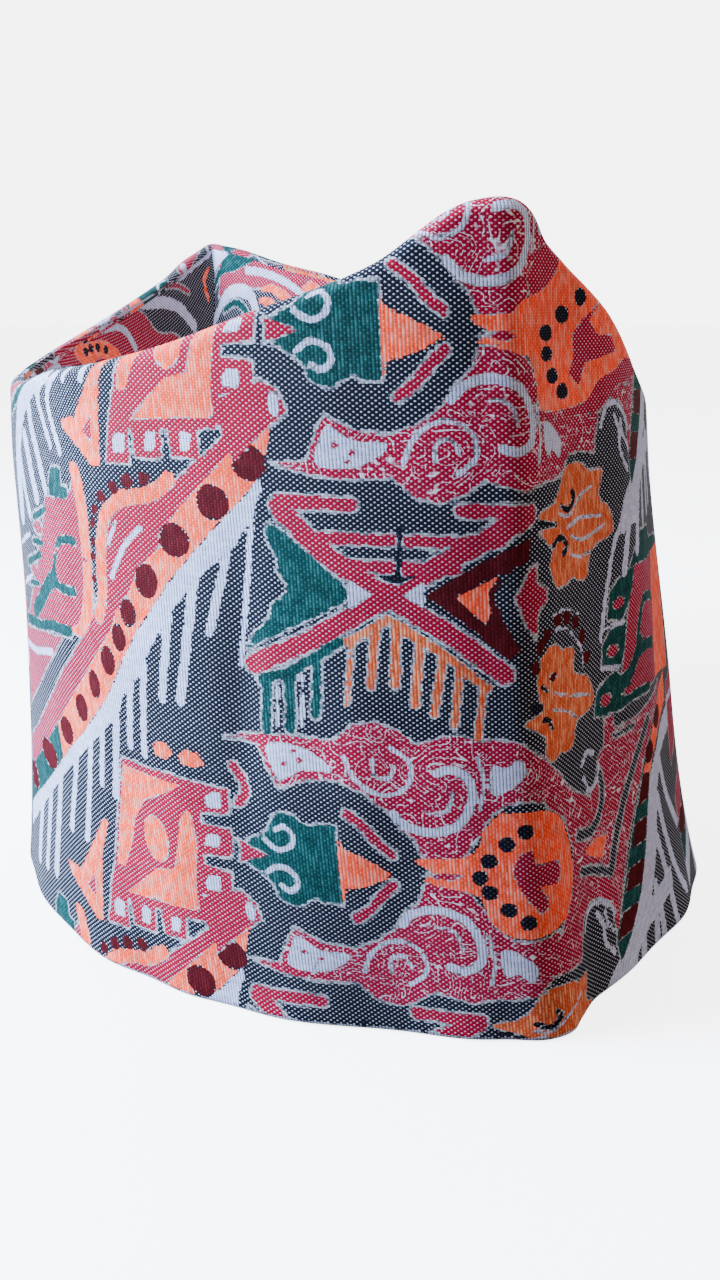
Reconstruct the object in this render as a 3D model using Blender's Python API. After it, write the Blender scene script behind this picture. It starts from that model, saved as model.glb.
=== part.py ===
"""Dhaka topi: a soft brimless cap of woven cotton, opened out and standing on its own rim.

It is two pieces of cloth. The band is one wall that goes right round the head, with a crease at
the near end and one at the far end, where it rises to two blunt peaks. The crown is the top cloth,
sunk in a long valley between the peaks. The hat is open below.
"""

import math

import bmesh
import bpy
import numpy as np

MM = 0.001

# Driving dimensions, in millimetres
ROUND = 559.0              # way round the rim
BAND_THICKNESS = 1.6       # two turned layers of cotton
CROWN_THICKNESS = 1.2
VALLEY_DROP = 1.6          # how much more than that the cloth measures straight down at the valley
SEAM_GAP = 0.4             # between the band's turned top edge and the crown
TOP_ROLL = 2.2             # outer radius of the roll where the band turns in to the crown
ROLL_TURN = 165.0          # degrees that the roll turns before the crown starts
ROLL_STEPS = 3
WAIST = 0.4                # share of the height at which the wall's flare ends
PAIRS = 44                 # stations on each side of the hat, from the near crease to the far one
CREASE_CROWDING = 0.75     # how much closer the stations stand at the creases
CROWN_RINGS = 7
MERGE = 0.00001            # in metres, joins the two sides of the crown along its valley
OUTER_RISES = (0.0, 0.08, 0.17, 0.28, 0.4, 0.6, 0.8)
FACING_REACH = 8.0         # how far to each side the wall's facing is judged, which eases the creases

# The wall, a row for each section. place is the way round the rim from the near crease, positive
# to the right; rim, waist and top are plan positions, x to the right and y away; height is the
# height of the top edge there.
WALL_COLUMNS = ("place", "rim_x", "rim_y", "waist_x", "waist_y", "top_x", "top_y", "height")
WALL = (
    (-276, 0.0, 104.5, -0.5, 102.0, -2.0, 99.0, 134.0),
    (-269, -7.0, 102.2, -7.0, 99.0, -8.5, 94.5, 131.3),
    (-249, -24.0, 93.0, -22.0, 89.0, -19.5, 83.5, 124.4),
    (-226, -43.0, 79.0, -40.0, 75.0, -34.0, 69.5, 116.8),
    (-201, -58.0, 60.0, -54.5, 57.0, -48.5, 52.0, 110.4),
    (-175, -66.8, 36.0, -63.8, 35.0, -59.8, 32.5, 106.1),
    (-148, -71.5, 10.0, -68.5, 10.0, -67.3, 9.5, 103.6),
    (-125, -73.5, -13.2, -70.3, -12.5, -68.6, -11.0, 103.5),
    (-105, -70.3, -33.0, -67.5, -32.0, -65.3, -30.0, 106.5),
    (-86, -64.8, -51.4, -62.5, -49.5, -60.5, -47.0, 108.4),
    (-67, -54.4, -67.4, -53.0, -65.0, -51.5, -62.0, 111.8),
    (-48, -41.8, -80.4, -41.5, -77.5, -41.0, -74.0, 116.6),
    (-25, -22.1, -93.5, -23.5, -89.8, -25.0, -85.5, 123.4),
    (-7, -6.8, -102.0, -9.5, -97.2, -12.0, -92.0, 132.0),
    (0, 0.0, -104.3, -3.0, -99.3, -6.0, -93.8, 132.5),
    (5, 5.0, -103.6, 1.5, -98.2, -2.0, -92.0, 132.2),
    (10, 8.5, -101.0, 5.5, -96.0, 1.5, -89.8, 130.1),
    (17, 14.3, -96.8, 11.5, -92.2, 7.0, -86.2, 126.6),
    (33, 28.2, -89.5, 24.5, -85.0, 19.2, -80.0, 117.6),
    (53, 45.6, -79.6, 39.7, -74.2, 31.8, -70.2, 107.6),
    (79, 63.0, -59.9, 55.0, -56.0, 46.5, -52.5, 100.2),
    (101, 73.0, -41.0, 65.0, -36.0, 55.5, -32.0, 98.5),
    (126, 78.0, -16.0, 69.7, -12.0, 60.0, -9.0, 97.5),
    (152, 78.5, 10.0, 70.0, 12.0, 60.5, 13.0, 99.0),
    (179, 74.0, 36.0, 66.0, 36.0, 55.5, 35.0, 104.5),
    (204, 63.0, 59.0, 56.0, 57.0, 46.0, 54.0, 113.0),
    (230, 46.0, 78.0, 41.0, 74.0, 31.0, 70.0, 123.5),
    (254, 26.0, 92.0, 23.0, 88.0, 16.0, 82.5, 128.6),
    (275, 8.0, 102.2, 7.0, 99.0, 3.5, 94.0, 133.3),
)

# The crown's valley, a row for each section from the near crease to the far one. left and right are
# the places on the wall that the section joins; valley is its lowest point; sag is how much of a
# hollow its two slopes have, where 1 is straight.
VALLEY_COLUMNS = ("way", "left", "right", "valley_x", "valley_y", "valley_z", "sag")
VALLEY = (
    (0.00, 0, 0, -6.0, -83.5, 122.0, 1.0),
    (0.06, -9, 9, -6.5, -78.5, 115.0, 1.0),
    (0.16, -33, 33, -7.5, -67.0, 100.0, 1.1),
    (0.30, -71, 70, -8.5, -46.0, 81.0, 1.25),
    (0.50, -133, 131, -12.0, -4.0, 68.0, 1.35),
    (0.70, -196, 196, -17.0, 41.0, 77.0, 1.25),
    (0.84, -240, 244, -11.0, 67.0, 98.0, 1.1),
    (0.94, -262, 270, -4.5, 83.5, 117.0, 1.0),
    (1.00, -276, 283, -2.4, 91.0, 127.5, 1.0),
)

CLOTHS = {
    "band": {"colour": (0.42, 0.13, 0.16, 1.0), "roughness": 0.82},
    "crown": {"colour": (0.20, 0.14, 0.17, 1.0), "roughness": 0.85},
}


def clear_scene():
    for old in list(bpy.data.objects):
        bpy.data.objects.remove(old, do_unlink=True)


def smooth_rows(where, knots, values):
    """Read a table between its rows, on a cubic that leaves each row along its neighbours' chord."""
    steps = np.diff(knots)
    chords = np.diff(values, axis=0) / steps[:, None]
    slopes = np.empty_like(values)
    slopes[0], slopes[-1] = chords[0], chords[-1]
    before, after = steps[:-1, None], steps[1:, None]
    slopes[1:-1] = (chords[:-1] * after + chords[1:] * before) / (before + after)
    row = np.clip(np.searchsorted(knots, where, side="right") - 1, 0, len(knots) - 2)
    step = steps[row][:, None]
    part = (np.asarray(where) - knots[row])[:, None] / step
    kept = 2 * part**3 - 3 * part**2 + 1
    leaving = (part**3 - 2 * part**2 + part) * step
    arriving = (part**3 - part**2) * step
    return kept * values[row] + leaving * slopes[row] + (1 - kept) * values[row + 1] + arriving * slopes[row + 1]


def wall_rows(place):
    """The wall's table at places round the rim, as arrays by column name."""
    table = np.array(WALL, dtype=float)
    lap = np.zeros(len(WALL_COLUMNS))
    lap[0] = ROUND
    table = np.vstack([table[-2:] - lap, table, table[:3] + lap])
    start = WALL[0][0]
    place = np.mod(np.asarray(place, dtype=float) - start, ROUND) + start
    values = smooth_rows(place, table[:, 0], table[:, 1:])
    return dict(zip(WALL_COLUMNS[1:], values.T))


def valley_rows(way):
    """The crown's table at shares of the way from the near crease to the far one."""
    table = np.array(VALLEY, dtype=float)
    values = smooth_rows(np.asarray(way, dtype=float), table[:, 0], table[:, 1:])
    return dict(zip(VALLEY_COLUMNS[1:], values.T))


def wall_points(place, rise):
    """Outside of the band at a share of its height: a straight wall on a foot that flares out."""
    row = wall_rows(place)
    rim = np.column_stack([row["rim_x"], row["rim_y"]])
    waist = np.column_stack([row["waist_x"], row["waist_y"]])
    top = np.column_stack([row["top_x"], row["top_y"]])
    straight = waist + (top - waist) * (rise - WAIST) / (1 - WAIST)
    foot = waist - (top - waist) * WAIST / (1 - WAIST)
    flare = (rim - foot) * max(1 - rise / WAIST, 0) ** 2
    return np.column_stack([straight + flare, row["height"] * rise])


def outward(place, rise):
    """Level direction that faces out of the wall at each place."""
    ahead = wall_points(place + FACING_REACH, rise) - wall_points(place - FACING_REACH, rise)
    side = np.column_stack([ahead[:, 1], -ahead[:, 0], np.zeros(len(ahead))])
    return side / np.linalg.norm(side, axis=1)[:, None]


def roll_points(place, turn, depth):
    """A point on the roll at the top edge, turned over by an angle, at a depth in the cloth."""
    height = wall_rows(place)["height"]
    rise = 1 - TOP_ROLL / height.mean()
    side = outward(place, rise)
    middle = wall_points(place, rise) - side * TOP_ROLL
    middle[:, 2] = height - TOP_ROLL
    angle = math.radians(turn)
    radius = TOP_ROLL - depth
    return middle + side * radius * math.cos(angle) + np.array([0, 0, radius * math.sin(angle)])


def stations():
    """Shares of the way from crease to crease, crowded together at both creases."""
    even = np.linspace(0, 1, PAIRS + 1)
    return even - CREASE_CROWDING * np.sin(2 * math.pi * even) / (2 * math.pi)


def ring_places(way):
    """Places once round the hat: up its right side to the far crease and back down its left."""
    row = valley_rows(way)
    return np.concatenate([row["right"], row["left"][-2:0:-1]])


def ring_ways(way):
    return np.concatenate([way, way[-2:0:-1]])


def add_loop(mesh, points):
    verts = [mesh.verts.new(point * MM) for point in points]
    edges = [mesh.edges.new((verts[i - 1], verts[i])) for i in range(len(verts))]
    return edges


def bridge(mesh, first, second):
    bmesh.ops.bridge_loops(mesh, edges=first + second)


def finish(mesh, name):
    """Turn the faces outwards and hang the mesh on an object with its own cloth."""
    bmesh.ops.recalc_face_normals(mesh, faces=mesh.faces)
    data = bpy.data.meshes.new(name)
    mesh.to_mesh(data)
    mesh.free()
    data.shade_smooth()
    thing = bpy.data.objects.new(name, data)
    bpy.context.collection.objects.link(thing)
    thing.data.materials.append(cloth(name))
    return thing


def cloth(name):
    """Plain cotton in the piece's main colour."""
    look = CLOTHS[name]
    material = bpy.data.materials.new(name + "_cotton")
    material.use_nodes = True
    shader = material.node_tree.nodes["Principled BSDF"]
    shader.inputs["Base Color"].default_value = look["colour"]
    shader.inputs["Roughness"].default_value = look["roughness"]
    shader.inputs["Metallic"].default_value = 0.0
    return material


def make_band(places, shift):
    """The wall: up its outside, over the roll at the top, and down its inside to the level rim."""
    loops = []
    for rise in OUTER_RISES:
        loops.append(wall_points(places, rise))
    for step in range(ROLL_STEPS + 1):
        loops.append(roll_points(places, ROLL_TURN * step / ROLL_STEPS, 0))
    for step in range(ROLL_STEPS, -1, -1):
        loops.append(roll_points(places, ROLL_TURN * step / ROLL_STEPS, BAND_THICKNESS))
    for rise in reversed(OUTER_RISES):
        loops.append(wall_points(places, rise) - outward(places, rise) * BAND_THICKNESS)
    mesh = bmesh.new()
    edges = [add_loop(mesh, points + shift) for points in loops]
    for i in range(len(edges)):
        bridge(mesh, edges[i - 1], edges[i])
    return finish(mesh, "band")


def crown_points(places, ways, share, depth):
    """A ring of the crown at a share of the way from the band's roll down to the valley."""
    row = valley_rows(ways)
    angle = math.radians(ROLL_TURN)
    onward = -math.sin(angle) * outward(places, 1.0)
    onward[:, 2] = math.cos(angle)
    edge = roll_points(places, ROLL_TURN, depth) + onward * SEAM_GAP
    valley = np.column_stack([row["valley_x"], row["valley_y"], row["valley_z"] - depth * VALLEY_DROP])
    points = edge + (valley - edge) * share
    points[:, 2] = valley[:, 2] + (edge[:, 2] - valley[:, 2]) * (1 - share) ** row["sag"]
    return points


def make_crown(places, ways, shift):
    """The top cloth: rings that close in on the valley above, and the same rings again below."""
    mesh = bmesh.new()
    rings = {}
    for depth in (0, CROWN_THICKNESS):
        rings[depth] = []
        for ring in range(CROWN_RINGS + 1):
            points = crown_points(places, ways, ring / CROWN_RINGS, depth)
            rings[depth].append(add_loop(mesh, points + shift))
        for wider, closer in zip(rings[depth], rings[depth][1:]):
            bridge(mesh, wider, closer)
    bridge(mesh, rings[0][0], rings[CROWN_THICKNESS][0])
    bmesh.ops.remove_doubles(mesh, verts=mesh.verts, dist=MERGE)
    return finish(mesh, "crown")


def centring_shift(places):
    """Moves the hat so that the middle of its plan is the origin."""
    rim = wall_points(places, 0.0)
    middle = (rim.min(axis=0) + rim.max(axis=0)) / 2
    return -np.array([middle[0], middle[1], 0.0])


def main():
    clear_scene()
    way = stations()
    places = ring_places(way)
    ways = ring_ways(way)
    shift = centring_shift(places)
    make_band(places, shift)
    make_crown(places, ways, shift)


main()
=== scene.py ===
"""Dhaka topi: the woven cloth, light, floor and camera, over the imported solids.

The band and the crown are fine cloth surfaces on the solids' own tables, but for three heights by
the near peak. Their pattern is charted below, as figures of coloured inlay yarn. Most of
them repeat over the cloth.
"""

import functools
import math

import bmesh
import bpy
import numpy as np
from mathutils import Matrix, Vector


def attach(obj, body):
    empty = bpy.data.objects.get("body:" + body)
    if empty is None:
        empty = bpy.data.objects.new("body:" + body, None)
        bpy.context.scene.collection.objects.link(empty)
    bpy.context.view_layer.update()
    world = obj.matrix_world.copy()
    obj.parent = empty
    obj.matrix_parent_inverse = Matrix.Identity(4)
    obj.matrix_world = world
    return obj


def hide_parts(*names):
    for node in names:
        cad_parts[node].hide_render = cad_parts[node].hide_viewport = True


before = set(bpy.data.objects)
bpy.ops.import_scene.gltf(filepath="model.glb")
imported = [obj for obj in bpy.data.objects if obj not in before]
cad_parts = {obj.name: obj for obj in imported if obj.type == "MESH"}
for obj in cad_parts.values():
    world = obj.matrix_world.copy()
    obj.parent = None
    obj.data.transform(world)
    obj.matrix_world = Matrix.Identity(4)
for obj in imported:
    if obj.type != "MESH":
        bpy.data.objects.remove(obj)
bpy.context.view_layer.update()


def colour(red, green, blue):
    """A colour as seen on a screen, 0 to 255, as the light values that shaders use."""
    shares = [value / 255 for value in (red, green, blue)]
    light = [s / 12.92 if s <= 0.04045 else ((s + 0.055) / 1.055) ** 2.4 for s in shares]
    return (*light, 1.0)


MM = 0.001

# The hat's form, in millimetres, as in the part's source but for a lower slope by the near peak
ROUND = 559.0
BAND_THICKNESS = 1.6
CROWN_THICKNESS = 1.2
TOP_ROLL = 2.2
ROLL_TURN = 165.0
MEAN_HEIGHT = 116.0
SEAM_GAP = 0.4
WAIST = 0.4                       # share of the height that the flared foot takes up
FACING_REACH = 8.0
SHIFT = (-2.766, -0.091, 0.0)     # from the tables' frame to the part's

WALL_COLUMNS = ("place", "rim_x", "rim_y", "waist_x", "waist_y", "top_x", "top_y", "height")
WALL = (
    (-276, 0.0, 104.5, -0.5, 102.0, -2.0, 99.0, 134.0),
    (-269, -7.0, 102.2, -7.0, 99.0, -8.5, 94.5, 131.3),
    (-249, -24.0, 93.0, -22.0, 89.0, -19.5, 83.5, 124.4),
    (-226, -43.0, 79.0, -40.0, 75.0, -34.0, 69.5, 116.8),
    (-201, -58.0, 60.0, -54.5, 57.0, -48.5, 52.0, 110.4),
    (-175, -66.8, 36.0, -63.8, 35.0, -59.8, 32.5, 106.1),
    (-148, -71.5, 10.0, -68.5, 10.0, -67.3, 9.5, 103.6),
    (-125, -73.5, -13.2, -70.3, -12.5, -68.6, -11.0, 103.5),
    (-105, -70.3, -33.0, -67.5, -32.0, -65.3, -30.0, 106.5),
    (-86, -64.8, -51.4, -62.5, -49.5, -60.5, -47.0, 108.4),
    (-67, -54.4, -67.4, -53.0, -65.0, -51.5, -62.0, 111.8),
    (-48, -41.8, -80.4, -41.5, -77.5, -41.0, -74.0, 116.6),
    (-25, -22.1, -93.5, -23.5, -89.8, -25.0, -85.5, 123.4),
    (-7, -6.8, -102.0, -9.5, -97.2, -12.0, -92.0, 132.0),
    (0, 0.0, -104.3, -3.0, -99.3, -6.0, -93.8, 132.5),
    (5, 5.0, -103.6, 1.5, -98.2, -2.0, -92.0, 131.4),
    (10, 8.5, -101.0, 5.5, -96.0, 1.5, -89.8, 127.9),
    (17, 14.3, -96.8, 11.5, -92.2, 7.0, -86.2, 124.8),
    (33, 28.2, -89.5, 24.5, -85.0, 19.2, -80.0, 117.6),
    (53, 45.6, -79.6, 39.7, -74.2, 31.8, -70.2, 107.6),
    (79, 63.0, -59.9, 55.0, -56.0, 46.5, -52.5, 100.2),
    (101, 73.0, -41.0, 65.0, -36.0, 55.5, -32.0, 98.5),
    (126, 78.0, -16.0, 69.7, -12.0, 60.0, -9.0, 97.5),
    (152, 78.5, 10.0, 70.0, 12.0, 60.5, 13.0, 99.0),
    (179, 74.0, 36.0, 66.0, 36.0, 55.5, 35.0, 104.5),
    (204, 63.0, 59.0, 56.0, 57.0, 46.0, 54.0, 113.0),
    (230, 46.0, 78.0, 41.0, 74.0, 31.0, 70.0, 123.5),
    (254, 26.0, 92.0, 23.0, 88.0, 16.0, 82.5, 128.6),
    (275, 8.0, 102.2, 7.0, 99.0, 3.5, 94.0, 133.3),
)
VALLEY_COLUMNS = ("way", "left", "right", "valley_x", "valley_y", "valley_z", "sag")
VALLEY = (
    (0.00, 0, 0, -6.0, -83.5, 122.0, 1.0),
    (0.06, -9, 9, -6.5, -78.5, 115.0, 1.0),
    (0.16, -33, 33, -7.5, -67.0, 100.0, 1.1),
    (0.30, -71, 70, -8.5, -46.0, 81.0, 1.25),
    (0.50, -133, 131, -12.0, -4.0, 68.0, 1.35),
    (0.70, -196, 196, -17.0, 41.0, 77.0, 1.25),
    (0.84, -240, 244, -11.0, 67.0, 98.0, 1.1),
    (0.94, -262, 270, -4.5, 83.5, 117.0, 1.0),
    (1.00, -276, 283, -2.4, 91.0, 127.5, 1.0),
)

# The fine cloth surfaces
BAND_PIECES = {
    # piece: first place, last place, columns
    "band_front": (-152.0, 93.0, 408),
    "band_right": (93.0, 283.0, 270),
    "band_left": (-276.0, -152.0, 180),
}
WALL_CELLS = 206
HEM_CELLS = 8
ROLL_CELLS = 12
HEM_RADIUS = 0.9
HEM_TURN = 5.0                    # how far up the inside the turned hem reaches
WAVE_SIZE = 0.6
WAVES = (
    # length round, length up, start
    (13.0, 31.0, 0.0),
    (37.0, -19.0, 1.3),
)
PUCKER_SIZE = 0.3
PUCKER_LENGTH = 3.7
PUCKER_DRIFT = (0.8, 11.0)        # how far the puckers wander, and over what length
PUCKER_FADE = 7.0
CALM_TOP = 14.0                   # the cloth lies still this near the top edge
CALM_CREASE = (3.5, 270.0, 15.0)  # and at the far crease: middle, reach, fade
FOLDS = (
    # place, level, reach round, reach up, how far out
    (-50.0, 56.0, 4.0, 22.0, -0.9),
    (-66.0, 40.0, 9.0, 30.0, 0.9),
    (-92.0, 62.0, 6.0, 26.0, -0.8),
    (-30.0, 44.0, 6.0, 20.0, 0.6),
    (16.0, 12.0, 3.0, 10.0, -0.8),
    (27.0, 60.0, 7.0, 30.0, -0.8),
    (60.0, 50.0, 9.0, 28.0, -0.9),
    (150.0, 55.0, 12.0, 30.0, -1.0),
    (205.0, 60.0, 10.0, 34.0, 0.9),
    (-190.0, 60.0, 10.0, 30.0, -0.9),
    (-230.0, 50.0, 9.0, 30.0, 0.8),
)
INSIDE_CELLS = (280, 92)
INSIDE_TUCK = 1.0                 # how far the reverse starts behind the hem
CROWN_CELLS = (250, 70)           # along each slope and down it
CROWN_TUCK = 0.03                 # share of the slope that is tucked under the band's roll
ARC_REACH = ROUND / 2 + 6.0       # true lengths are read between these places, both ways
ARC_STEPS = 1201
ARC_RISES = 12
LAST_CELL = 1.001                 # keeps a reading inside a table's last cell
ROW_DIGITS = 4

# The weave, in millimetres: white warp over coloured weft, and the figures' repeat
WARP_PITCH = 0.555
WEFT_PITCH = 0.415
REPEAT_ALONG = (188.0, -8.0)
REPEAT_UP = (12.0, 84.2)
COPIES_ALONG = range(-4, 5)
COPIES_UP = range(-2, 4)
MIRROR_LINE = 30.1                # the mirrored figures are the same above and below this height
FIELD_REACH = 2.0                 # how far from its edge a figure's depth is kept
CURVE_STEPS = 4                   # straight pieces between two points of a blob or curve
TINY = 1e-9

# The yarns' colours
DEEP_TEAL = colour(0, 34, 38)
GROUND = colour(12, 17, 34)
WHITE = colour(228, 236, 255)
REVERSE = colour(60, 60, 80)
PALE_GAP = colour(88, 100, 146)
YARN_LOOKS = {
    # yarn: its colour, the warp's colour on it, how strongly the warp's dots and its lines show
    "crimson": (colour(146, 0, 40), colour(236, 210, 250), 0.72, 0.0),
    "cloud": (colour(146, 0, 44), colour(248, 216, 255), 0.72, 0.0),
    "coral": (colour(244, 62, 14), colour(255, 176, 160), 0.44, 0.30),
    "petal": (colour(190, 66, 26), colour(250, 176, 136), 0.36, 0.34),
    "teal": (colour(0, 48, 48), colour(84, 170, 176), 0.26, 0.10),
    "maroon": (colour(62, 0, 10), colour(140, 46, 60), 0.20, 0.10),
    "pale": (colour(214, 222, 255), PALE_GAP, 0.16, 0.0),
    "navy": (colour(5, 8, 22), colour(90, 104, 140), 0.50, 0.0),
}

# The weave's soft steps: where each starts and ends, then what it runs from and to, if not 0 and 1
THREAD_EDGE = (0.10, 0.42, 1.0, 0.0)
GAP_EDGE = (0.16, 0.46)
FIGURE_EDGE = (-0.06, 0.06)
HALO_EDGE = (-0.50, -0.36)
HALO_STREAK = (0.3, 0.55, 0.25, 1.0)
INLAY_STREAK = (0.25, 0.65, 0.7, 1.3)
PALE_STREAK = (0.3, 0.6, 0.60, 0.98)
TEAL_STREAK = (0.45, 0.7, 0.0, 0.5)
SCROLL_EDGE = (0.04, 0.09, 1.0, 0.0)
SCROLL_STREAK = (0.42, 0.56, 0.0, 0.8)
FLECK_STEP = (0.35, 0.75, 0.3, 2.4)
WEAR_TONE = (0.3, 0.7, 0.88, 1.06)
FUZZ_TONE = (0.2, 0.8, 0.86, 1.10)
FUZZ_ROUGHNESS = (0.0, 1.0, 0.78, 0.95)

# The weave's other measures
DOT_STRENGTH = 0.86
JOG_SIZE = 0.44                   # how far a figure's edge steps from thread to thread
HALO_FLOOR = 0.40                 # how much of the halo shows between the warp's dots
PETAL_INSET = 0.15
STREAK_STRETCH = (0.35, 1.7)      # along the cloth, from row to row
FLECK_STRETCH = (2.3, 0.4)        # from column to column, up the cloth
STREAK_NOISE = (1.0, 2.0)         # each noise's scale and detail
FLECK_NOISE = (1.0, 1.0)
WEAR_NOISE = (55.0, 3.0)
FUZZ_NOISE = (900.0, 2.0)
SCROLL_NOISE = (0.16, 0.5)
SCROLL_BEND = 1.2
SCROLL_TURNS = 6.0
SHINE = 0.12                      # the cloth's specular level
BUMP_STRENGTH = 0.5
BUMP_DEPTH = 0.00012

# Stage, light and camera, in metres, watts and degrees, but the lens and sensor in millimetres
STAGE_REACH = 6.0
BACKDROP_SPLITS = 5               # how often the round backdrop's faces are split
STAGE_LIGHT = {"floor": 4.6, "backdrop": 6.2}
STAGE_TINT = colour(248, 249, 252)
STAGE_ROUGHNESS = 0.9
WORLD_TINT = colour(250, 250, 252)
LOBES = (
    # the way it lies, its edge and its full part as cosines, strength
    ((0.36, 0.92, 0.12), 0.72, 0.90, 4.6),
    ((0.0, 0.3, 0.95), 0.60, 0.95, 2.4),
)
AMBIENT = 0.08
LAMPS = (
    # name, place, target, size, power, tint
    ("window", (-0.56, 0.10, 0.34), (-0.03, 0, 0.06), 0.40, 31.0, (0.66, 0.79, 1.0)),
    ("room", (0.55, -0.65, 0.30), (0, 0, 0.06), 0.5, 4.0, (1.0, 0.76, 0.62)),
)
CAMERA_PLACE = (-0.09147, -0.24639, 0.1185)
CAMERA_TILT = 16.47
CAMERA_TURN = -21.25
CAMERA_LENS = 32.34
CAMERA_SENSOR = 36.0
CAMERA_NEAR = 0.01

# The long slanting band's edges, from the near crease down to the far left
PALE_LOW = ((-39.5, 90.5), (-42, 85.5), (-46, 80.5), (-50, 77.5), (-55, 73), (-60, 67), (-63, 63),
            (-66, 58), (-69, 55), (-72, 51.5), (-76, 46.5), (-82, 42), (-88, 37.5), (-95, 32.5),
            (-102, 27), (-112, 19.5), (-126, 10))
PALE_HIGH = ((-39.5, 92.5), (-44, 88), (-48, 84.5), (-53, 79.5), (-58, 74.5), (-62, 69.5), (-66, 65),
             (-70, 59.5), (-73, 55), (-76, 51), (-80, 47.5), (-86, 42.5), (-92, 38), (-100, 31.5),
             (-110, 24.5), (-126, 15))
DOTS_HIGH = ((-36.5, 102), (-40, 99), (-45, 95.5), (-50, 91), (-55, 86.5), (-60, 81), (-64, 77),
             (-67, 72.5), (-70, 69), (-72.5, 64), (-76, 60.5), (-80, 56.5), (-86, 51.5), (-92, 46),
             (-100, 39.5), (-110, 32), (-126, 22))
CRIMSON_HIGH = ((-36, 105), (-41, 102), (-47, 97), (-55, 91), (-58, 90), (-64, 87.5), (-70, 85),
                (-73, 80), (-74, 72), (-77, 66.5), (-80, 63), (-85, 59), (-90, 54.5), (-97, 49),
                (-105, 42.5), (-115, 35), (-126, 29))

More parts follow.
